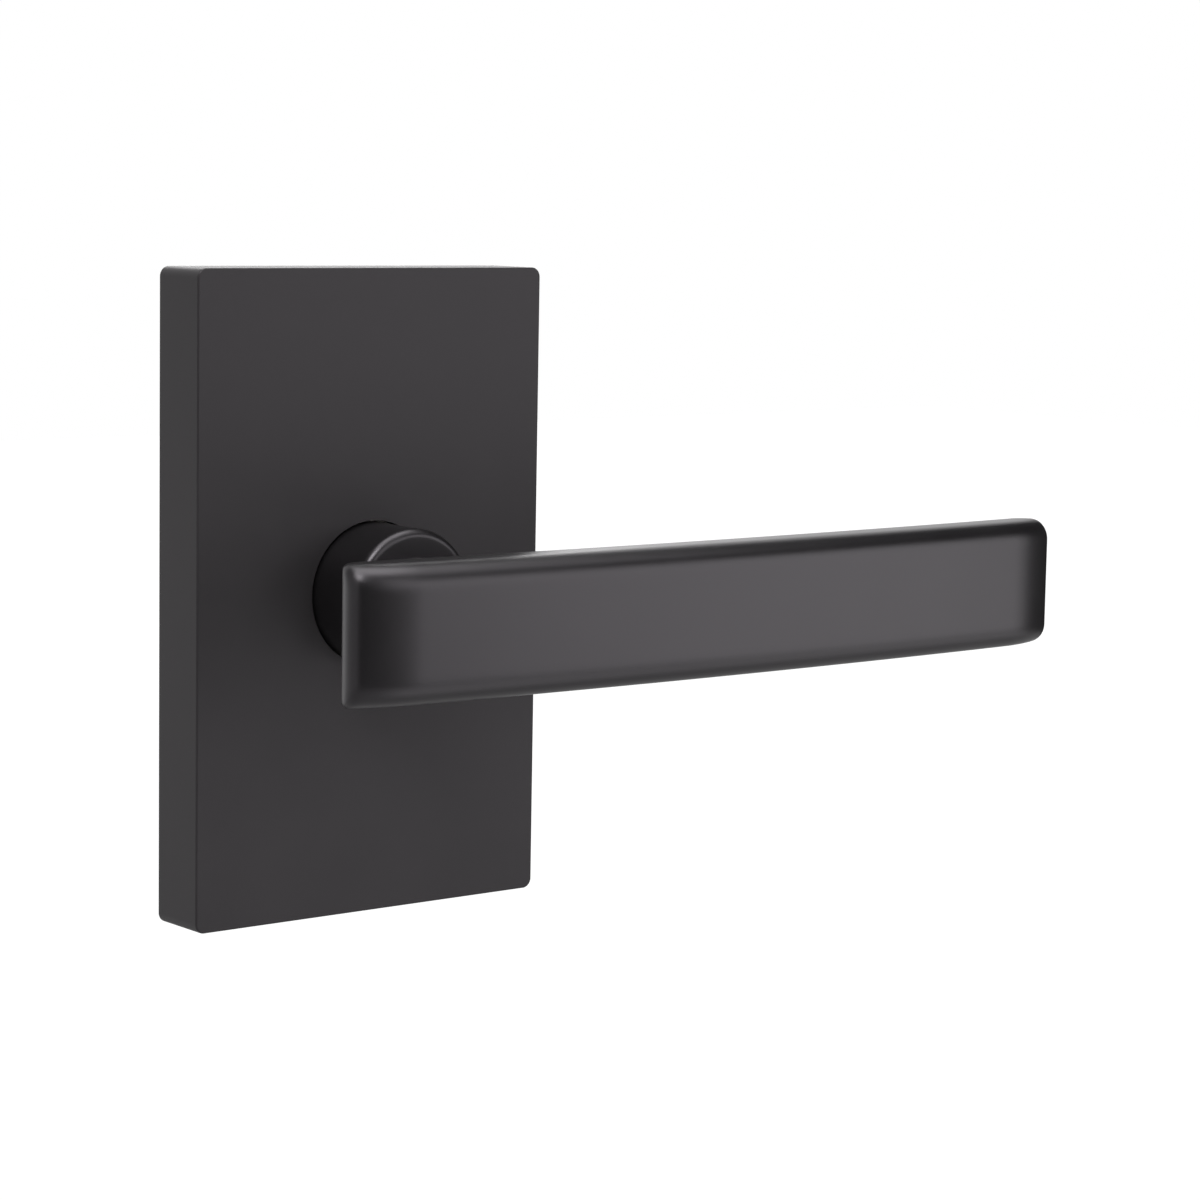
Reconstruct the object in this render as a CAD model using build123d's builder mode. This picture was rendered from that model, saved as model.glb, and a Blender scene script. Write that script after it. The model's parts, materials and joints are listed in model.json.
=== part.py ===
from build123d import *
import os
from math import asin, cos, degrees, pi, radians, sin, sqrt

os.makedirs("parts", exist_ok=True)

# Door lever on a rectangular rosette, one side of a passage set.
# The door's face is the plane Y = 0, the spindle runs along Y, the grip lies towards +X and +Z is up.
# A depth whose name ends in _out is counted from the door's face towards the user, so it is -Y.

# Rosette cover
cover_w = 66.7
cover_h = 104.8
cover_t = 11.2
cover_wall = 2.0
cover_face = 2.2
cover_corner_r = 1.6
cover_edge_r = 0.3
cover_gap = 0.6
shank_gap = 0.4

# Lever
shank_d = 22.8
collar_len = 11.8
collar_edge_r = 1.3
neck_d = 12.4
neck_foot_r = 0.6
neck_root_r = 3.0
grip_left = 35.0
grip_right = 109.0
grip_h = 21.3
grip_t = 8.0
finger_gap = 41.6
grip_bow_r = 1150.0
grip_roll_r = 27.0
grip_roll_len = 10.0
grip_heel_r = 3.8
grip_edge_r = 3.4
grip_crease_r = 1.0

# Backing pad and mounting plate
pad_t = 0.8
pad_inset = 0.2
plate_t = 2.0
plate_corner_r = 1.5
tab_w = 16.0
tab_gap = 0.8
tab_hole_d = 4.4
cover_peg_d = 3.8

# Spring cage and its lid
cage_rim = 3.95
cage_wall = 1.8
cage_web_t = 2.4
cage_floor_t = 2.4
cage_rib_t = 1.6
cage_ribs = 8
bore_clear = 0.9
lid_lap = 0.8
lid_flange_t = 1.8
lid_wall = 1.2
lid_face = 4.0
lid_gap = 0.2

# Bearings
run_clear = 0.05
seat_clear = 0.05
bush_wall = 1.9
bush_flange_w = 1.4
bush_flange_t = 1.1
sleeve_wall = 1.9
sleeve_flange_w = 1.6
sleeve_flange_t = 0.8
washer_w = 4.0
washer_t = 0.8

# Hub
hub_play = 0.1
hub_face_gap = 0.3
hub_disc_lip = 1.2
hub_disc_t = 3.0
hub_journal_d = 15.0
hub_tail = 1.2
ear_gap = 0.5
ear_half = 16.0
stop_angle = 45.0
stop_play = 0.4
stop_half = 11.0
stop_depth = 3.5
clip_t = 1.0
clip_groove = 0.6
clip_w = 2.2
clip_open = 50.0
clip_lug_gap = 0.1
clip_hole_d = 1.6

# Return spring, with the hub's finger and the cage's post between its legs
wire_d = 1.6
coil_r = 11.6
coil_core_gap = 1.0
coil_side_gap = 0.5
coil_pitch = 2.2
coil_end_gap = 0.48
coil_turns = 2
leg_gap = 0.2
leg_bend_r = 2.0
leg_len = 2.2
finger_t = 1.5
finger_half = 15.5
finger_at = 180.0
post_gap = 0.3
post_t = 1.5

# Spindle
spindle_w = 8.0
spindle_clear = 0.05
spindle_back = 36.0
socket_floor = 3.0
spindle_chamfer = 0.5
socket_spare = 0.2
pin_d = 3.0
pin_len = 13.0

# Screws
grub_d = 6.0
grub_hex = 3.0
grub_sink = 0.4
thread_clear = 0.05
screw_clear = 0.2
lid_screw_d = 3.0
lid_screw_head_d = 5.6
lid_screw_head_h = 2.2
lid_screw_len = 9.0
lid_screw_hex = 2.0
lid_screw_gap = 1.0
lid_screw_count = 4
lid_screw_at = 45.0
boss_wall = 1.5
bolt_d = 5.0
bolt_thread_d = 4.5
bolt_shoulder = 1.0
bolt_head_d = 8.4
bolt_head_gap = 0.7
bolt_hex = 3.0
bolt_gap = 0.25
bolt_back = 36.0
bolt_washer_lip = 0.1
bolt_washer_t = 0.8
wood_screw_d = 4.2
wood_head_d = 8.0
wood_screw_len = 25.0
wood_tip_len = 6.0
wood_recess = 3.0
wood_edge = 9.8
cover_screw_d = 4.0
cover_screw_hex = 2.0
cover_screw_sink = 0.3
hex_depth_share = 0.55
head_edge = 0.5

# Sizes that fit one another
cover_in_w = cover_w - 2 * cover_wall
cover_in_h = cover_h - 2 * cover_wall
plate_w = cover_in_w - 2 * cover_gap
plate_h = cover_in_h - 2 * cover_gap
shank_hole_d = shank_d + 2 * shank_gap
bush_in_d = shank_d + 2 * run_clear
bush_out_d = bush_in_d + 2 * bush_wall
bush_flange_d = bush_out_d + 2 * bush_flange_w
sleeve_in_d = hub_journal_d + 2 * run_clear
sleeve_out_d = sleeve_in_d + 2 * sleeve_wall
sleeve_flange_d = sleeve_out_d + 2 * sleeve_flange_w
washer_in_d = hub_journal_d + 4 * run_clear
socket_w = spindle_w + 2 * spindle_clear
finger_in_r = coil_r + wire_d / 2 + coil_side_gap
finger_out_r = finger_in_r + finger_t
post_in_r = finger_out_r + post_gap
post_out_r = post_in_r + post_t
cavity_d = 2 * (post_out_r + post_gap)
leg_angle = finger_half - degrees(asin((leg_bend_r - wire_d / 2 - leg_gap) / post_out_r))
leg_turn = 360 * coil_turns + 2 * leg_angle
hub_core_d = 2 * (coil_r - wire_d / 2 - coil_core_gap)
hub_disc_d = hub_core_d + 2 * hub_disc_lip
ear_reach = cavity_d / 2 - ear_gap
lid_boss_d = cavity_d + 2 * lid_wall
bolt_washer_d = bolt_head_d + 2 * bolt_washer_lip
bolt_spacing = lid_boss_d + bolt_washer_d + 2 * bolt_gap
lid_screw_circle = lid_boss_d + lid_screw_head_d + 2 * lid_screw_gap
cage_d = bolt_spacing + 2 * cage_rim
lid_d = cage_d + 2 * lid_lap
wood_spacing = plate_h - 2 * wood_edge
ear_at = finger_at + 180
groove_d = hub_journal_d - 2 * clip_groove
boss_d = lid_screw_d + 2 * boss_wall
bolt_hole_d = bolt_d + 2 * screw_clear
bolt_boss_d = bolt_hole_d + 2 * boss_wall
screw_hole_d = lid_screw_d + 2 * screw_clear
wood_hole_d = wood_screw_d + 2 * screw_clear

# Depths that follow from the sizes above
plate_out = pad_t
plate_front_out = plate_out + plate_t
flange_out = plate_front_out + lid_flange_t
bolt_seat_out = flange_out + bolt_washer_t
bolt_head_h = cover_t - cover_face - bolt_head_gap - bolt_seat_out
lid_front_out = cover_t - cover_face - lid_gap
cavity_front_out = lid_front_out - lid_face
disc_front_out = cavity_front_out - hub_face_gap
disc_back_out = disc_front_out - hub_disc_t
washer_out = disc_back_out - coil_pitch * leg_turn / 360 - wire_d - 2 * coil_end_gap
floor_out = washer_out - washer_t
cage_depth = cage_floor_t - floor_out
core_back_out = washer_out + hub_play
clip_out = -cage_depth - sleeve_flange_t - hub_play
groove_front_out = clip_out + thread_clear
groove_back_out = clip_out - clip_t - thread_clear
hub_back_out = groove_back_out - hub_tail
pin_out = hub_back_out - seat_clear - pin_d / 2
shank_back_out = cavity_front_out + lid_gap
collar_front_out = cover_t + collar_len
spindle_front_out = collar_front_out - socket_floor - socket_spare
grip_back_out = cover_t + finger_gap
tab_front_out = cover_t - cover_face - tab_gap
cover_fix_out = (plate_front_out + tab_front_out) / 2
grub_out = cover_t + (collar_len - collar_edge_r) / 2


def at_out(depth):
    """Plane square to the spindle at a depth from the door's face, with +X right and +Z up."""
    return Plane.XZ.offset(depth)


def ring_sector(inner_r, outer_r, middle, half):
    """Part of a flat ring, centred on an angle counted from +X towards +Z."""
    with BuildSketch() as sector:
        with BuildLine():
            inner = CenterArc((0, 0), inner_r, middle - half, 2 * half)
            outer = CenterArc((0, 0), outer_r, middle - half, 2 * half)
            Line(inner @ 0, outer @ 0)
            Line(inner @ 1, outer @ 1)
        make_face()
    return sector.sketch


# Rosette cover: a shell with softened edges, a peg inside the top wall and a screw hole in the bottom one
with BuildPart() as rosette_cover:
    with BuildSketch(at_out(0)):
        RectangleRounded(cover_w, cover_h, cover_corner_r)
    extrude(amount=cover_t)
    fillet(rosette_cover.faces().sort_by(Axis.Y)[0].edges(), cover_edge_r)
    with BuildSketch(at_out(0)):
        Rectangle(cover_in_w, cover_in_h)
    extrude(amount=cover_t - cover_face, mode=Mode.SUBTRACT)
    with BuildSketch(at_out(0)):
        Circle(shank_hole_d / 2)
    extrude(amount=cover_t, mode=Mode.SUBTRACT)
    with BuildSketch(Plane.XY.offset(cover_in_h / 2)):
        with Locations((0, -cover_fix_out)):
            Circle(cover_peg_d / 2)
    extrude(amount=-(cover_gap + plate_t))
    with BuildSketch(Plane.XY.offset(-cover_h / 2)):
        with Locations((0, -cover_fix_out)):
            Circle(cover_screw_d / 2 + thread_clear)
    extrude(amount=cover_wall, mode=Mode.SUBTRACT)

# Grub screw that locks the cover to the plate's lower tab
cover_screw_foot = -cover_h / 2 + cover_screw_sink
cover_screw_len = cover_wall + cover_gap + plate_t - cover_screw_sink
with BuildPart() as cover_screw:
    with BuildSketch(Plane.XY.offset(cover_screw_foot)):
        with Locations((0, -cover_fix_out)):
            Circle(cover_screw_d / 2)
    extrude(amount=cover_screw_len)
    with BuildSketch(Plane.XY.offset(cover_screw_foot)):
        with Locations((0, -cover_fix_out)):
            RegularPolygon(cover_screw_hex / 2, 6, major_radius=False)
    extrude(amount=cover_screw_len * hex_depth_share, mode=Mode.SUBTRACT)

# Backing pad, open around the cage and pierced for the wood screws
with BuildPart() as backing_pad:
    with BuildSketch(at_out(0)):
        RectangleRounded(plate_w - 2 * pad_inset, plate_h - 2 * pad_inset, plate_corner_r)
        Circle(cage_d / 2 + bore_clear, mode=Mode.SUBTRACT)
        with GridLocations(0, wood_spacing, 1, 2):
            Circle(wood_hole_d / 2, mode=Mode.SUBTRACT)
    extrude(amount=pad_t)

# Mounting plate with a bent tab at each end
with BuildPart() as mounting_plate:
    with BuildSketch(at_out(plate_out)):
        RectangleRounded(plate_w, plate_h, plate_corner_r)
        Circle(cavity_d / 2, mode=Mode.SUBTRACT)
        with GridLocations(0, bolt_spacing, 1, 2):
            Circle(bolt_hole_d / 2, mode=Mode.SUBTRACT)
        with GridLocations(0, wood_spacing, 1, 2):
            Circle(wood_hole_d / 2, mode=Mode.SUBTRACT)
        with PolarLocations(lid_screw_circle / 2, lid_screw_count, start_angle=lid_screw_at):
            Circle(screw_hole_d / 2, mode=Mode.SUBTRACT)
    extrude(amount=plate_t)
    with BuildSketch(at_out(plate_front_out)):
        with GridLocations(0, plate_h - plate_t, 1, 2):
            Rectangle(tab_w, plate_t)
    extrude(amount=tab_front_out - plate_front_out)
    with BuildSketch(Plane.XY.offset(-plate_h / 2)):
        with Locations((0, -cover_fix_out)):
            Circle(tab_hole_d / 2)
    extrude(amount=plate_h, mode=Mode.SUBTRACT)
    with BuildSketch(at_out(plate_front_out)):
        with GridLocations(0, wood_spacing, 1, 2):
            Circle(wood_head_d / 2)
    extrude(amount=-(wood_head_d - wood_hole_d) / 2, taper=45, mode=Mode.SUBTRACT)

# Spring cage: rim, spring well, web, bosses and ribs, as cast
with BuildPart() as spring_cage:
    with BuildSketch(at_out(plate_out)):
        Circle(cage_d / 2)
    extrude(amount=-cage_web_t)
    with BuildSketch(at_out(plate_out)):
        Circle(cage_d / 2)
        Circle(cage_d / 2 - cage_wall, mode=Mode.SUBTRACT)
        Circle(cavity_d / 2 + cage_wall)
    extrude(amount=-(plate_out + cage_depth))
    with BuildSketch(at_out(plate_out)):
        with PolarLocations((cage_d + cavity_d) / 4, cage_ribs, start_angle=180 / cage_ribs):
            Rectangle((cage_d - cavity_d) / 2 - cage_wall, cage_rib_t)
        with PolarLocations(lid_screw_circle / 2, lid_screw_count, start_angle=lid_screw_at):
            Circle(boss_d / 2)
        with GridLocations(0, bolt_spacing, 1, 2):
            Circle(bolt_boss_d / 2)
        Circle(cage_d / 2, mode=Mode.INTERSECT)
    extrude(amount=-(plate_out + cage_depth))
    with BuildSketch(at_out(plate_out)):
        Circle(cavity_d / 2)
    extrude(amount=-(plate_out - floor_out), mode=Mode.SUBTRACT)
    with BuildSketch(at_out(plate_out)):
        Circle(sleeve_out_d / 2 + seat_clear)
        with GridLocations(0, bolt_spacing, 1, 2):
            Circle(bolt_hole_d / 2)
        with PolarLocations(lid_screw_circle / 2, lid_screw_count, start_angle=lid_screw_at):
            Circle(lid_screw_d / 2 + thread_clear)
    extrude(amount=-(plate_out + cage_depth), mode=Mode.SUBTRACT)
    with BuildSketch(at_out(floor_out)):
        add(ring_sector(post_in_r, post_out_r, finger_at, finger_half))
    extrude(amount=disc_back_out - post_gap - floor_out)

# Cage lid: screwed flange, bearing boss and the two stops for the hub's ear
stop_middle = stop_angle + ear_half + stop_play + stop_half
stop_in_r = cavity_d / 2 - stop_depth
stop_out_r = cavity_d / 2 + lid_wall / 2
with BuildPart() as cage_lid:
    with BuildSketch(at_out(plate_front_out)):
        Circle(lid_d / 2)
        with GridLocations(0, bolt_spacing, 1, 2):
            Circle(bolt_hole_d / 2, mode=Mode.SUBTRACT)
        with PolarLocations(lid_screw_circle / 2, lid_screw_count, start_angle=lid_screw_at):
            Circle(screw_hole_d / 2, mode=Mode.SUBTRACT)
    extrude(amount=lid_flange_t)
    with BuildSketch(at_out(plate_front_out)):
        Circle(lid_boss_d / 2)
    extrude(amount=lid_front_out - plate_front_out)
    with BuildSketch(at_out(plate_front_out)):
        Circle(cavity_d / 2)
    extrude(amount=cavity_front_out - plate_front_out, mode=Mode.SUBTRACT)
    with BuildSketch(at_out(plate_front_out)):
        Circle(bush_out_d / 2 + seat_clear)
    extrude(amount=lid_front_out - plate_front_out, mode=Mode.SUBTRACT)
    with BuildSketch(at_out(lid_front_out)):
        Circle(bush_flange_d / 2 + seat_clear)
    extrude(amount=-(bush_flange_t + seat_clear), mode=Mode.SUBTRACT)
    with BuildSketch(at_out(plate_front_out)):
        add(ring_sector(stop_in_r, stop_out_r, ear_at - stop_middle, stop_half))
        add(ring_sector(stop_in_r, stop_out_r, ear_at + stop_middle, stop_half))
    extrude(amount=cavity_front_out - plate_front_out)

# Shank bushing, whose flange sits in the lid's counterbore
bush_seat_out = lid_front_out - bush_flange_t - seat_clear
with BuildPart() as shank_bushing:
    with BuildSketch(at_out(cavity_front_out + seat_clear)):
        Circle(bush_out_d / 2)
    extrude(amount=lid_face - 2 * seat_clear)
    with BuildSketch(at_out(bush_seat_out)):
        Circle(bush_flange_d / 2)
    extrude(amount=bush_flange_t)
    with BuildSketch(at_out(cavity_front_out)):
        Circle(bush_in_d / 2)
    extrude(amount=lid_face, mode=Mode.SUBTRACT)

# Hub bushing in the cage's floor, flanged behind it
with BuildPart() as hub_bushing:
    with BuildSketch(at_out(floor_out)):
        Circle(sleeve_out_d / 2)
    extrude(amount=-cage_floor_t)
    with BuildSketch(at_out(-cage_depth)):
        Circle(sleeve_flange_d / 2)
    extrude(amount=-sleeve_flange_t)
    with BuildSketch(at_out(floor_out)):
        Circle(sleeve_in_d / 2)
    extrude(amount=-(cage_floor_t + sleeve_flange_t), mode=Mode.SUBTRACT)

# Thrust washer on the cage's floor
with BuildPart() as hub_washer:
    with BuildSketch(at_out(floor_out)):
        Circle(washer_in_d / 2 + washer_w)
        Circle(washer_in_d / 2, mode=Mode.SUBTRACT)
    extrude(amount=washer_t)

# Return spring: two turns, with both legs bent outwards on either side of the post
coil_front_out = (disc_back_out + washer_out) / 2 + coil_pitch * leg_turn / 720


def coil_point(turned):
    """Point, direction along the wire and outward direction after a turn from the front leg."""
    angle = radians(finger_at + leg_angle - turned)
    rise = coil_pitch / (2 * pi)
    away = Vector(cos(angle), 0, sin(angle))
    point = away * coil_r + Vector(0, coil_pitch * turned / 360 - coil_front_out, 0)
    return point, Vector(coil_r * sin(angle), rise, -coil_r * cos(angle)).normalized(), away


start, start_along, start_away = coil_point(0)
end, end_along, end_away = coil_point(leg_turn)
front_bend = start + (start_away - start_along) * leg_bend_r
back_bend = end + (end_away + end_along) * leg_bend_r
steps = 4 * coil_turns
with BuildPart() as return_spring:
    with BuildLine() as wire:
        Line(front_bend + start_away * leg_len, front_bend)
        TangentArc(front_bend, start, tangent=-start_away)
        for i in range(steps):
            p0, t0, _ = coil_point(leg_turn * i / steps)
            p1, t1, _ = coil_point(leg_turn * (i + 1) / steps)
            chord = p1 - p0
            both = t0 + t1
            spread = 2 * (1 - t0.dot(t1))
            reach = (sqrt(chord.dot(both) ** 2 + spread * chord.dot(chord)) - chord.dot(both)) / spread
            joint = (p0 + p1 + (t0 - t1) * reach) * 0.5
            TangentArc(p0, joint, tangent=t0)
            TangentArc(joint, p1, tangent=(chord - both * reach).normalized())
        TangentArc(end, back_bend, tangent=end_along)
        Line(back_bend, back_bend + end_away * leg_len)
    with BuildSketch(Plane(front_bend + start_away * leg_len, z_dir=-start_away)):
        Circle(wire_d / 2)
    sweep(path=wire.line)
samples = 200
coil = [coil_point(leg_turn * i / samples)[0] for i in range(samples + 1)]
lap = int(samples * 270 / leg_turn)
coil_gap = min((a - b).length for i, a in enumerate(coil) for b in coil[i + lap :]) - wire_d
print(f"gap between the spring's turns {coil_gap:.2f} mm")

# Drive hub: disc with stop ear and driver finger, core inside the coil, journal with the clip's groove
with BuildPart() as drive_hub:
    with BuildSketch(at_out(disc_back_out)):
        Circle(hub_disc_d / 2)
        add(ring_sector(hub_core_d / 2, ear_reach, ear_at, ear_half))
        add(ring_sector(hub_core_d / 2, finger_out_r, finger_at, finger_half))
    extrude(amount=hub_disc_t)
    with BuildSketch(at_out(disc_back_out)):
        add(ring_sector(finger_in_r, finger_out_r, finger_at, finger_half))
    extrude(amount=-(disc_back_out - core_back_out))
    with BuildSketch(at_out(disc_back_out)):
        Circle(hub_core_d / 2)
    extrude(amount=-(disc_back_out - core_back_out))
    with BuildSketch(at_out(core_back_out)):
        Circle(hub_journal_d / 2)
    extrude(amount=-(core_back_out - hub_back_out))
    with BuildSketch(at_out(groove_front_out)):
        Circle(hub_journal_d / 2)
        Circle(groove_d / 2, mode=Mode.SUBTRACT)
    extrude(amount=-(groove_front_out - groove_back_out), mode=Mode.SUBTRACT)
    with BuildSketch(at_out(disc_front_out)):
        Rectangle(socket_w, socket_w)
    extrude(amount=-(disc_front_out - hub_back_out), mode=Mode.SUBTRACT)

# Retaining clip: open ring with two lugs for the pliers
clip_in_r = groove_d / 2 + thread_clear
clip_half = 180 - clip_open / 2
clip_lug_r = clip_w - clip_lug_gap
with BuildPart() as hub_clip:
    with BuildSketch(at_out(clip_out)):
        add(ring_sector(clip_in_r, clip_in_r + clip_w, 90, clip_half))
        for end_angle in (90 - clip_half, 90 + clip_half):
            with PolarLocations(clip_in_r + clip_w, 1, start_angle=end_angle):
                Circle(clip_lug_r)
                Circle(clip_hole_d / 2, mode=Mode.SUBTRACT)
    extrude(amount=-clip_t)

# Square spindle with a cross hole for its pin
with BuildPart() as spindle:
    with BuildSketch(at_out(spindle_front_out)):
        Rectangle(spindle_w, spindle_w)
    extrude(amount=-(spindle_front_out + spindle_back))
    chamfer(spindle.faces().filter_by(Axis.Y).edges(), spindle_chamfer)
    with BuildSketch(Plane.YZ.offset(-spindle_w / 2)):
        with Locations((-pin_out, 0)):
            Circle(pin_d / 2 + thread_clear)
    extrude(amount=spindle_w, mode=Mode.SUBTRACT)

with BuildPart() as spindle_pin:
    with BuildSketch(Plane.YZ.offset(-pin_len / 2)):
        with Locations((-pin_out, 0)):
            Circle(pin_d / 2)
    extrude(amount=pin_len)

# Lever: bowed bar whose ends roll back, thin neck and the round shank with its square socket
grip_middle = (grip_right - grip_left) / 2
grip_reach = (grip_right + grip_left) / 2
bow_centre = (grip_middle, grip_bow_r - grip_back_out)
front_bow_r = grip_bow_r + grip_t
back_half = degrees(asin(grip_reach / grip_bow_r))
front_slope = (grip_reach - grip_roll_len) / front_bow_r
front_half = degrees(asin(front_slope))
roll_turn = degrees(asin(front_slope + grip_roll_len / grip_roll_r)) - front_half
neck_top_out = grip_back_out - grip_bow_r + sqrt(grip_bow_r**2 - grip_middle**2)
with BuildPart() as lever:
    with BuildSketch(Plane.XY) as plan:
        with BuildLine():
            front = CenterArc(bow_centre, front_bow_r, 270 - front_half, 2 * front_half)
            back = CenterArc(bow_centre, grip_bow_r, 270 - back_half, 2 * back_half)
            left_roll = JernArc(front @ 0, -(front % 0), grip_roll_r, -roll_turn)
            right_roll = JernArc(front @ 1, front % 1, grip_roll_r, roll_turn)
            Line(left_roll @ 1, back @ 0)
            Line(right_roll @ 1, back @ 1)
        make_face()
        fillet(plan.vertices().sort_by(Axis.Y)[-2:], grip_heel_r)
    extrude(amount=grip_h / 2, both=True)
    fillet(lever.faces().filter_by(Axis.Z).edges().sort_by(Axis.Y)[:6], grip_edge_r)
    creases = lever.faces().filter_by(Axis.X).edges().filter_by(Axis.Z).sort_by(Axis.Y)[:2]
    end_corners = lever.edges().filter_by(GeomType.BSPLINE)
    back_rims = lever.faces().filter_by(Axis.Z).edges().sort_by(Axis.Y)[-6:]
    fillet(creases + end_corners + back_rims, grip_crease_r)
    with BuildSketch(at_out(collar_front_out)):
        Circle(neck_d / 2)
    extrude(amount=neck_top_out + grip_t / 2 - collar_front_out)
    near_neck = lever.edges().filter_by_position(Axis.X, -neck_d, neck_d)
    root_y = -neck_top_out
    neck_root = near_neck.filter_by_position(Axis.Y, root_y - grip_crease_r, root_y + grip_crease_r)
    fillet(neck_root, neck_root_r)
    with BuildSketch(at_out(shank_back_out)):
        Circle(shank_d / 2)
    extrude(amount=collar_front_out - shank_back_out)
    collar_rim = lever.edges().filter_by_position(Axis.Y, -collar_front_out, -collar_front_out)
    fillet(collar_rim.sort_by(SortBy.RADIUS)[-1], collar_edge_r)
    neck_foot = lever.edges().filter_by_position(Axis.Y, -collar_front_out, -collar_front_out)
    fillet(neck_foot.sort_by(SortBy.RADIUS)[0], neck_foot_r)
    with BuildSketch(at_out(shank_back_out)):
        Rectangle(socket_w, socket_w)
    extrude(amount=spindle_front_out + socket_spare - shank_back_out, mode=Mode.SUBTRACT)
    with BuildSketch(Plane.XY):
        with Locations((0, -grub_out)):
            Circle(grub_d / 2 + thread_clear)
    extrude(amount=-shank_d / 2, mode=Mode.SUBTRACT)

# Grub screw under the shank, down on the spindle's flat
grub_len = shank_d / 2 - grub_sink - spindle_w / 2
with BuildPart() as lever_grub_screw:
    with BuildSketch(Plane.XY.offset(-spindle_w / 2)):
        with Locations((0, -grub_out)):
            Circle(grub_d / 2)
    extrude(amount=-grub_len)
    with BuildSketch(Plane.XY.offset(-spindle_w / 2 - grub_len)):
        with Locations((0, -grub_out)):
            RegularPolygon(grub_hex / 2, 6, major_radius=False)
    extrude(amount=grub_len * hex_depth_share, mode=Mode.SUBTRACT)

# Four screws that hold the lid and the cage to the plate
with BuildPart() as lid_screws:
    with BuildSketch(at_out(flange_out)):
        with PolarLocations(lid_screw_circle / 2, lid_screw_count, start_angle=lid_screw_at):
            Circle(lid_screw_d / 2)
    extrude(amount=-lid_screw_len)
    with BuildSketch(at_out(flange_out)):
        with PolarLocations(lid_screw_circle / 2, lid_screw_count, start_angle=lid_screw_at):
            Circle(lid_screw_head_d / 2)
    extrude(amount=lid_screw_head_h)
    chamfer(lid_screws.faces().group_by(Axis.Y)[0].edges(), head_edge)
    with BuildSketch(at_out(flange_out + lid_screw_head_h)):
        with PolarLocations(lid_screw_circle / 2, lid_screw_count, start_angle=lid_screw_at):
            RegularPolygon(lid_screw_hex / 2, 6, major_radius=False)
    extrude(amount=-lid_screw_head_h * hex_depth_share, mode=Mode.SUBTRACT)

# Two washers and two bolts that reach through the door
with BuildPart() as bolt_washers:
    with BuildSketch(at_out(flange_out)):
        with GridLocations(0, bolt_spacing, 1, 2):
            Circle(bolt_washer_d / 2)
            Circle(bolt_hole_d / 2, mode=Mode.SUBTRACT)
    extrude(amount=bolt_washer_t)

with BuildPart() as through_bolts:
    with BuildSketch(at_out(bolt_seat_out)):
        with GridLocations(0, bolt_spacing, 1, 2):
            Circle(bolt_d / 2)
    extrude(amount=-(bolt_seat_out + cage_depth + bolt_shoulder))
    with BuildSketch(at_out(bolt_seat_out)):
        with GridLocations(0, bolt_spacing, 1, 2):
            Circle(bolt_thread_d / 2)
    extrude(amount=-(bolt_seat_out + bolt_back))
    chamfer(through_bolts.faces().group_by(Axis.Y)[-1].edges(), spindle_chamfer)
    with BuildSketch(at_out(bolt_seat_out)):
        with GridLocations(0, bolt_spacing, 1, 2):
            Circle(bolt_head_d / 2)
    extrude(amount=bolt_head_h)
    chamfer(through_bolts.faces().group_by(Axis.Y)[0].edges(), head_edge)
    with BuildSketch(at_out(bolt_seat_out + bolt_head_h)):
        with GridLocations(0, bolt_spacing, 1, 2):
            RegularPolygon(bolt_hex / 2, 6, major_radius=False)
    extrude(amount=-bolt_head_h * hex_depth_share, mode=Mode.SUBTRACT)

# Two countersunk wood screws, turned about their own axes
wood_head_depth = (wood_head_d - wood_screw_d) / 2
with BuildPart() as wood_screws:
    for side in (1, -1):
        axis_at = side * wood_spacing / 2
        with BuildSketch(Plane.YZ):
            with BuildLine():
                Polyline(
                    (-plate_front_out, axis_at),
                    (-plate_front_out, axis_at + wood_head_d / 2),
                    (-plate_front_out + wood_head_depth, axis_at + wood_screw_d / 2),
                    (wood_screw_len - plate_front_out - wood_tip_len, axis_at + wood_screw_d / 2),
                    (wood_screw_len - plate_front_out, axis_at),
                    close=True,
                )
            make_face()
        revolve(axis=Axis((0, 0, axis_at), (0, 1, 0)))
    with BuildSketch(at_out(plate_front_out)):
        with GridLocations(0, wood_spacing, 1, 2):
            RegularPolygon(wood_recess / 2, 4)
    extrude(amount=-wood_head_depth * hex_depth_share, mode=Mode.SUBTRACT)

pieces = {
    "rosette_cover": rosette_cover,
    "cover_screw": cover_screw,
    "backing_pad": backing_pad,
    "mounting_plate": mounting_plate,
    "spring_cage": spring_cage,
    "cage_lid": cage_lid,
    "shank_bushing": shank_bushing,
    "hub_bushing": hub_bushing,
    "hub_washer": hub_washer,
    "return_spring": return_spring,
    "drive_hub": drive_hub,
    "hub_clip": hub_clip,
    "spindle": spindle,
    "spindle_pin": spindle_pin,
    "lever": lever,
    "lever_grub_screw": lever_grub_screw,
    "lid_screws": lid_screws,
    "bolt_washers": bolt_washers,
    "through_bolts": through_bolts,
    "wood_screws": wood_screws,
}
for name, piece in pieces.items():
    piece.part.label = name
    export_step(piece.part, f"parts/{name}.step")
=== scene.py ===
import json
import math

import bpy
from mathutils import Matrix, Vector


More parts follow.
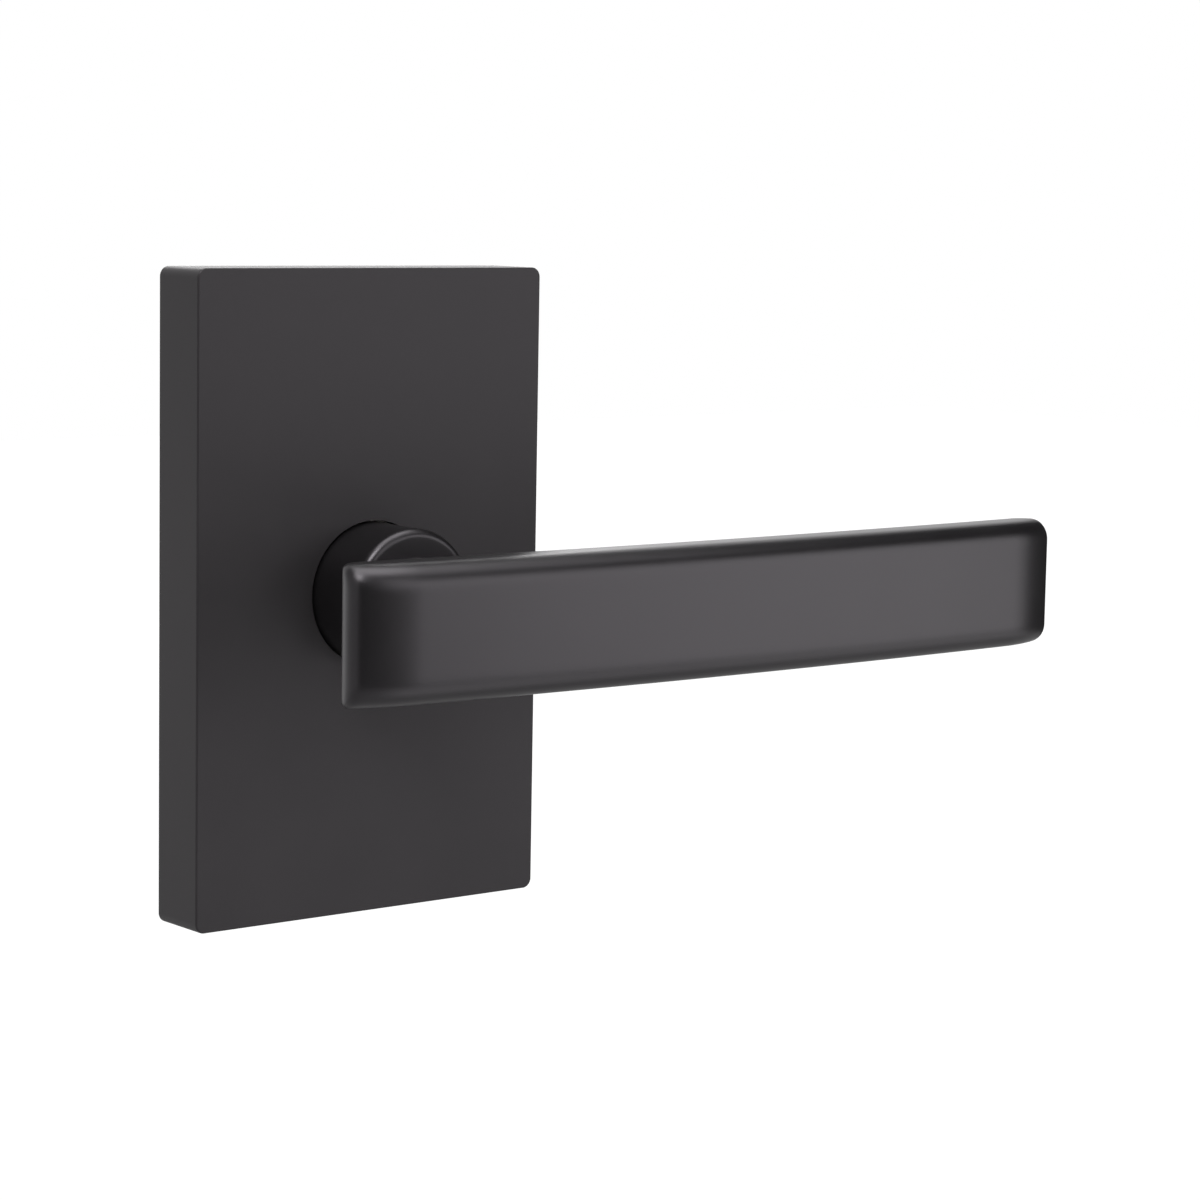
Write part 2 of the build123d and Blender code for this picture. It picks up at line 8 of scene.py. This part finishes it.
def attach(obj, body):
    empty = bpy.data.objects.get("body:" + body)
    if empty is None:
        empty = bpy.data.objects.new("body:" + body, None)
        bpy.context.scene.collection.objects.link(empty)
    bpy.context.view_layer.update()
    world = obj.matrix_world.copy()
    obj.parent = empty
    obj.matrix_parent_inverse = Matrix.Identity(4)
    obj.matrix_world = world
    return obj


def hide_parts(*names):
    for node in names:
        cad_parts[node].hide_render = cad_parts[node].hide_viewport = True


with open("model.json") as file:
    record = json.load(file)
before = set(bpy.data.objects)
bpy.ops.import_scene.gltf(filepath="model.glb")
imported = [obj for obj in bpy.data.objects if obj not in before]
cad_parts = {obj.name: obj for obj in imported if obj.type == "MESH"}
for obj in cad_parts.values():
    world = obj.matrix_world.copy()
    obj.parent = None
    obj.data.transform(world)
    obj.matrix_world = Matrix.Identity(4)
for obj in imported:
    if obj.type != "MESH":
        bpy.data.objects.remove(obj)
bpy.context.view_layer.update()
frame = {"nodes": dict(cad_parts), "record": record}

# Camera, fitted to the photograph's edges: angles in degrees, place in metres, focal length in pixels
camera_yaw = 38.84
camera_pitch = 6.92
camera_roll = 1.01
camera_place = (-0.3173, -0.4640, 0.0664)
camera_focal_px, photo_px = 3430.6, 1200
camera_near = 0.01
sensor_mm = 36.0

# Finishes: size in metres of the patches over which colour and roughness drift, detail of the patches and
# of the grain, and the parts of their mixed noise that run from dark to light and from smooth to rough
patch = 0.012
patch_detail, grain_detail = 3.0, 2.0
tone_span = (0.35, 0.65)
gloss_span = (0.3, 0.7)
white = (1, 1, 1)
bare_metal = 1.0
common_ior = 1.5

# The black coat of the rosette and of the lever: darkest and lightest colours, range of roughness and index
# of refraction, then the tint of what they reflect and the size and height of their grain in metres
rosette_black = (0.0165, 0.0153, 0.016), (0.0215, 0.0199, 0.0208)
rosette_rough, rosette_ior = (0.50, 0.54), 1.46
lever_black = (0.004, 0.0037, 0.004), (0.0065, 0.006, 0.0065)
lever_rough, lever_ior = (0.31, 0.35), 1.6
black_tint = (0.99, 0.93, 1.0)
black_grain, black_lift = 0.0002, 0.000002

# Soft edges of the lever: their width on the grip and on the shank, and the depths between which one
# gives way to the other, in metres
soft_edges = (0.0028, 0.0005)
grip_back = (-0.049, -0.045)
soft_samples = 8

# Other finishes by slot: name, darkest and lightest colour, range of roughness, size and height of the grain
looks = {
    "black_screw": ("black_oxide", (0.012, 0.012, 0.013), (0.03, 0.03, 0.03), (0.4, 0.55), 0.0003, 0.00001),
    "pad_rubber": ("foam_rubber", (0.028, 0.028, 0.028), (0.045, 0.045, 0.045), (0.8, 0.95), 0.0006, 0.0002),
    "zinc_steel": (
        "zinc_plate", (0.50, 0.52, 0.55), (0.68, 0.69, 0.70), (0.25, 0.42), 0.0005, 0.000008, bare_metal),
    "cast_zinc": (
        "as_cast_zinc", (0.34, 0.35, 0.36), (0.52, 0.53, 0.54), (0.42, 0.6), 0.0006, 0.00004, bare_metal),
    "bush_plastic": ("natural_nylon", (0.74, 0.72, 0.65), (0.84, 0.82, 0.77), (0.4, 0.5), 0.0008, 0.00001),
    "sleeve_brass": (
        "turned_brass", (0.60, 0.42, 0.17), (0.78, 0.58, 0.28), (0.2, 0.35), 0.0003, 0.000006, bare_metal),
    "spring_steel": (
        "oiled_spring_steel", (0.18, 0.18, 0.19), (0.34, 0.34, 0.35), (0.25, 0.4), 0.0005, 0.00001,
        bare_metal),
    "hub_steel": (
        "sintered_steel", (0.36, 0.36, 0.37), (0.55, 0.55, 0.56), (0.38, 0.55), 0.0004, 0.00003, bare_metal),
}

# Screw threads, in metres: crests and cores as radii, and how far the roots sink below the shaft
bolt_crest_r, bolt_pitch = 0.0025, 0.0008
screw_crest_r, screw_core_r, screw_pitch = 0.0021, 0.00145, 0.0018
thread_sink = 0.0001
thread_steps = 36
thread_start = 0.002
thread_end_gap = 0.0008

# Threads: half a ridge's foot as a share of the pitch, the turns over which a ridge rises at its ends, and
# what is left of a wood screw's core and thread at its point
flank_share = 0.45
fade_turns = 0.5
point_core_share, point_crest_share = 0.05, 0.1

# Stage, in metres: the floor, the booth, which stands open behind the handle on its right, and a pale card
floor_z = -0.5
floor_half = 6.0
booth_left, booth_right = -1.3, 1.2
booth_front, booth_back = -1.3, 0.9
booth_bottom, booth_top = -0.45, 1.2
side_end = 0.7
back_split, back_end = -0.45, 0
card_right, card_far = 2.0, 0.7
pale_left, pale_right = 0.1, 1.15
pale_front, pale_back = -1.0, -0.32
pale_z = -0.44

# Colours of the floor and the boards, the floor's own glow as a share of white, and how matt they are
floor_colour, floor_glow = 0.35, 0.7
board_colour = 0.02
board_rough = 0.9

# Softboxes: azimuth from the front towards +X and elevation in degrees, distance, width and height in
# metres, and brightness as a multiple of white
lamp_aim = (0.02, -0.03, 0)
lamps = {
    "panel_left": (9, 20, 0.45, 0.16, 0.32, 1.6),
    "panel_right": (41, 4, 0.45, 0.34, 0.32, 1.88),
    "key": (-45, 52, 1.0, 0.50, 0.36, 10.0),
    "top": (60, 87, 1.0, 0.84, 0.91, 3.0),
    "over": (42, 56, 0.375, 0.20, 0.18, 1.3),
    "back": (153, 30, 1.0, 0.45, 0.40, 4.5),
}


def add(tree, kind, inputs=None, **settings):
    """A new node with its settings and the values of its inputs."""
    made = tree.nodes.new(kind)
    for name, value in settings.items():
        setattr(made, name, value)
    for name, value in (inputs or {}).items():
        made.inputs[name].default_value = value
    return made


def map_range(tree, source, start, end):
    """A node that takes one span of values to another."""
    made = add(tree, "ShaderNodeMapRange", {
        "From Min": start[0], "From Max": start[1], "To Min": end[0], "To Max": end[1]})
    tree.links.new(source, made.inputs["Value"])
    return made.outputs["Result"]


def finish_of(name, dark, light, rough, grain, lift, metallic=0.0, tint=white, ior=common_ior, edges=None):
    """Finish whose colour and roughness drift in patches, with a fine grain that lifts the surface."""
    material = bpy.data.materials.new(name)
    material.use_nodes = True
    tree = material.node_tree
    link = tree.links.new
    shader = tree.nodes["Principled BSDF"]
    shader.inputs["Metallic"].default_value = metallic
    shader.inputs["IOR"].default_value = ior
    shader.inputs["Specular Tint"].default_value = (*tint, 1)
    where = add(tree, "ShaderNodeTexCoord")
    drift = add(tree, "ShaderNodeTexNoise", {"Scale": 1 / patch, "Detail": patch_detail})
    fine = add(tree, "ShaderNodeTexNoise", {"Scale": 1 / grain, "Detail": grain_detail})
    link(where.outputs["Object"], drift.inputs["Vector"])
    link(where.outputs["Object"], fine.inputs["Vector"])
    both = add(tree, "ShaderNodeMath", operation="ADD")
    link(drift.outputs["Fac"], both.inputs[0])
    link(fine.outputs["Fac"], both.inputs[1])
    mean = add(tree, "ShaderNodeMath", {1: 0.5}, operation="MULTIPLY")
    link(both.outputs[0], mean.inputs[0])
    colour = add(tree, "ShaderNodeValToRGB")
    for stop, position, shade in zip(colour.color_ramp.elements, tone_span, (dark, light)):
        stop.position = position
        stop.color = (*shade, 1)
    link(mean.outputs[0], colour.inputs["Fac"])
    link(colour.outputs["Color"], shader.inputs["Base Color"])
    link(map_range(tree, mean.outputs[0], gloss_span, rough), shader.inputs["Roughness"])
    bump = add(tree, "ShaderNodeBump", {"Strength": 1.0, "Distance": lift})
    link(fine.outputs["Fac"], bump.inputs["Height"])
    link(bump.outputs["Normal"], shader.inputs["Normal"])
    if edges:
        place = add(tree, "ShaderNodeSeparateXYZ")
        link(where.outputs["Object"], place.inputs["Vector"])
        rounding = add(tree, "ShaderNodeBevel", samples=soft_samples)
        link(map_range(tree, place.outputs["Y"], grip_back, edges), rounding.inputs["Radius"])
        link(rounding.outputs["Normal"], bump.inputs["Normal"])
    return material


def make_finishes():
    """A finish on every node: the lever's coat is smoother and reflects more than the rosette's."""
    finishes = {"black_finish": finish_of(
        "satin_black", *rosette_black, rosette_rough, black_grain, black_lift, tint=black_tint,
        ior=rosette_ior)}
    for slot, look in looks.items():
        finishes[slot] = finish_of(*look)
    lever_finish = finish_of(
        "smooth_satin_black", *lever_black, lever_rough, black_grain, black_lift, tint=black_tint,
        ior=lever_ior, edges=soft_edges)
    for row in frame["record"]["subparts"]:
        mesh = frame["nodes"][row["node"]].data
        mesh.materials.clear()
        mesh.materials.append(lever_finish if row["node"] == "lever" else finishes[row["material_slot"]])


def shafts(node, radius):
    """Heights of a node's two shafts, the depth where they get thinner than the radius, and their tips."""
    spots = [frame["nodes"][node].matrix_world @ v.co for v in frame["nodes"][node].data.vertices]
    far = max(p.y for p in spots)
    tips = [p.z for p in spots if p.y > far - thread_sink]
    heights = []
    for side in (1, -1):
        own = [z for z in tips if z * side > 0]
        heights.append((min(own) + max(own)) / 2)
    near = [p.y for p in spots if math.hypot(p.x, abs(p.z) - heights[0]) > radius - thread_sink]
    return heights, max(near), far


def make_threads(name, node, heights, start, end, pitch, crest_at, root_at):
    """Helical ridges round a node's two shafts, between two depths; crest and root radii follow the depth."""
    corners, faces = [], []
    turns = (end - start) / pitch
    count = int(turns * thread_steps)
    fade_steps = fade_turns * thread_steps
    for height in heights:
        first = len(corners)
        for step in range(count + 1):
            angle = 2 * math.pi * step / thread_steps
            depth = start + pitch * step / thread_steps
            fade = min(1, step / fade_steps, (count - step) / fade_steps)
            root = root_at(depth)
            crest = root + (max(crest_at(depth), root) - root) * fade
            for radius, shift in ((root, -flank_share), (crest, 0), (root, flank_share)):
                across, up = radius * math.cos(angle), radius * math.sin(angle)
                corners.append((across, depth + shift * pitch, height + up))
        for step in range(count):
            here = first + 3 * step
            for side in range(3):
                after = (side + 1) % 3
                faces.append((here + side, here + after, here + 3 + after, here + 3 + side))
        last = first + 3 * count
        faces.append((first, first + 2, first + 1))
        faces.append((last, last + 1, last + 2))
    mesh = bpy.data.meshes.new(name)
    mesh.from_pydata(corners, [], faces)
    threads = bpy.data.objects.new(name, mesh)
    bpy.context.scene.collection.objects.link(threads)
    mesh.materials.append(frame["nodes"][node].data.materials[0])
    return threads


def make_bolt_threads():
    """Machine threads on the bolts, behind their plain shoulders."""
    heights, shoulder, far = shafts("through_bolts", bolt_crest_r)
    vertices = frame["nodes"]["through_bolts"].data.vertices
    root = max(abs(v.co.x) for v in vertices if v.co.y > shoulder + thread_sink)
    threads = make_threads(
        "through_bolt_threads", "through_bolts", heights, shoulder + bolt_pitch / 2, far - thread_end_gap,
        bolt_pitch, lambda depth: bolt_crest_r, lambda depth: root - thread_sink)
    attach(threads, "rosette")


def make_wood_screws():
    """Wood screws with a core that thins towards the point and a coarse thread of the screws' full width."""
    heights, cone, far = shafts("wood_screws", screw_crest_r)
    node = frame["nodes"]["wood_screws"]
    screws = bpy.data.objects.new("wood_screw_cores", node.data.copy())
    bpy.context.scene.collection.objects.link(screws)
    share = screw_core_r / screw_crest_r
    for v in screws.data.vertices:
        if v.co.y > 0:
            height = heights[0] if v.co.z > 0 else heights[1]
            v.co.x *= share
            v.co.z = height + (v.co.z - height) * share
    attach(screws, "rosette")
    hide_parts("wood_screws")
    head = min(v.co.y for v in node.data.vertices)

    def core(depth):
        if depth > cone:
            return screw_core_r * max(point_core_share, (far - depth) / (far - cone))
        return screw_core_r + (screw_crest_r - screw_core_r) * (cone - depth) / (cone - head)

    def crest(depth):
        return screw_crest_r * min(1, max(point_crest_share, (far - depth) / (far - cone)))

    threads = make_threads(
        "wood_screw_threads", "wood_screws", heights, thread_start, far - thread_end_gap, screw_pitch,
        crest, lambda depth: core(depth) - thread_sink)
    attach(threads, "rosette")


def make_camera():
    """Camera at the photograph's angle."""
    yaw, pitch, roll = (math.radians(a) for a in (camera_yaw, camera_pitch, camera_roll))
    ahead = Vector((math.sin(yaw) * math.cos(pitch), math.cos(yaw) * math.cos(pitch), -math.sin(pitch)))
    level = Vector((math.cos(yaw), -math.sin(yaw), 0))
    above = level.cross(ahead)
    right = level * math.cos(roll) + above * math.sin(roll)
    up = above * math.cos(roll) - level * math.sin(roll)
    data = bpy.data.cameras.new("camera")
    data.sensor_width = sensor_mm
    data.lens = camera_focal_px / photo_px * sensor_mm
    data.clip_start = camera_near
    camera = bpy.data.objects.new("camera", data)
    turn = Matrix((right, up, -ahead)).transposed().to_4x4()
    camera.matrix_world = Matrix.Translation(camera_place) @ turn
    bpy.context.scene.collection.objects.link(camera)
    bpy.context.scene.camera = camera


def make_lamp(name, azimuth, elevation, far, wide, high, level):
    """Softbox that faces the handle."""
    turn, rise = math.radians(azimuth), math.radians(elevation)
    ahead = Vector((math.sin(turn) * math.cos(rise), -math.cos(turn) * math.cos(rise), math.sin(rise)))
    data = bpy.data.lights.new(name, "AREA")
    data.shape = "RECTANGLE"
    data.size = wide
    data.size_y = high
    data.energy = level * math.pi * wide * high
    lamp = bpy.data.objects.new(name, data)
    lamp.location = Vector(lamp_aim) + ahead * far
    lamp.rotation_euler = (Vector(lamp_aim) - lamp.location).to_track_quat("-Z", "Y").to_euler()
    bpy.context.scene.collection.objects.link(lamp)


def make_world():
    """Plain white surroundings."""
    world = bpy.data.worlds.new("studio")
    world.use_nodes = True
    world.node_tree.nodes["Background"].inputs["Color"].default_value = (*white, 1)
    bpy.context.scene.world = world


def make_board(name, corners, colour, glow):
    """Flat stage board of one matt colour."""
    mesh = bpy.data.meshes.new(name)
    mesh.from_pydata(corners, [], [tuple(range(len(corners)))])
    board = bpy.data.objects.new(name, mesh)
    bpy.context.scene.collection.objects.link(board)
    material = bpy.data.materials.new(name)
    material.use_nodes = True
    shader = material.node_tree.nodes["Principled BSDF"]
    shader.inputs["Base Color"].default_value = (colour, colour, colour, 1)
    shader.inputs["Roughness"].default_value = board_rough
    shader.inputs["Emission Color"].default_value = (*white, 1)
    shader.inputs["Emission Strength"].default_value = glow
    mesh.materials.append(material)
    return board


def wall_corners(x0, y0, x1, y1):
    """Corners of a board that stands between two places, as high as the booth."""
    return [(x0, y0, booth_bottom), (x1, y1, booth_bottom), (x1, y1, booth_top), (x0, y0, booth_top)]


def flat_corners(x0, y0, x1, y1, z):
    """Corners of a level board."""
    return [(x0, y0, z), (x1, y0, z), (x1, y1, z), (x0, y1, z)]


def make_stage():
    """Pale floor well below the handle, and the booth's boards, which only the handle sees."""
    floor = flat_corners(-floor_half, -floor_half, floor_half, floor_half, floor_z)
    make_board("floor", floor, floor_colour, floor_glow)
    left, right, front, back = booth_left, booth_right, booth_front, booth_back
    # Corners of each board, and its own glow as a share of white
    boards = {
        "booth_front": (wall_corners(left, front, right, front), 0),
        "booth_right": (wall_corners(right, front, right, side_end), 0),
        "booth_top": (flat_corners(left, front, right, back, booth_top), 0),
        "booth_left": (wall_corners(left, front, left, back), 0.5),
        "booth_back": (wall_corners(left, back, back_split, back), 0.4),
        "booth_middle": (wall_corners(back_split, back, back_end, back), 1.0),
        "booth_floor": (flat_corners(left, front, card_right, card_far, booth_bottom), 0.38),
        "pale_card": (flat_corners(pale_left, pale_front, pale_right, pale_back, pale_z), 1.1),
    }
    for name, (corners, glow) in boards.items():
        board = make_board(name, corners, board_colour, glow)
        board.visible_camera = False
        if name in ("booth_floor", "pale_card"):
            board.visible_diffuse = False
            board.visible_shadow = False


bpy.context.scene.view_settings.view_transform = "Standard"
make_finishes()
make_bolt_threads()
make_wood_screws()
make_camera()
make_world()
make_stage()
for lamp_name, lamp in lamps.items():
    make_lamp(lamp_name, *lamp)
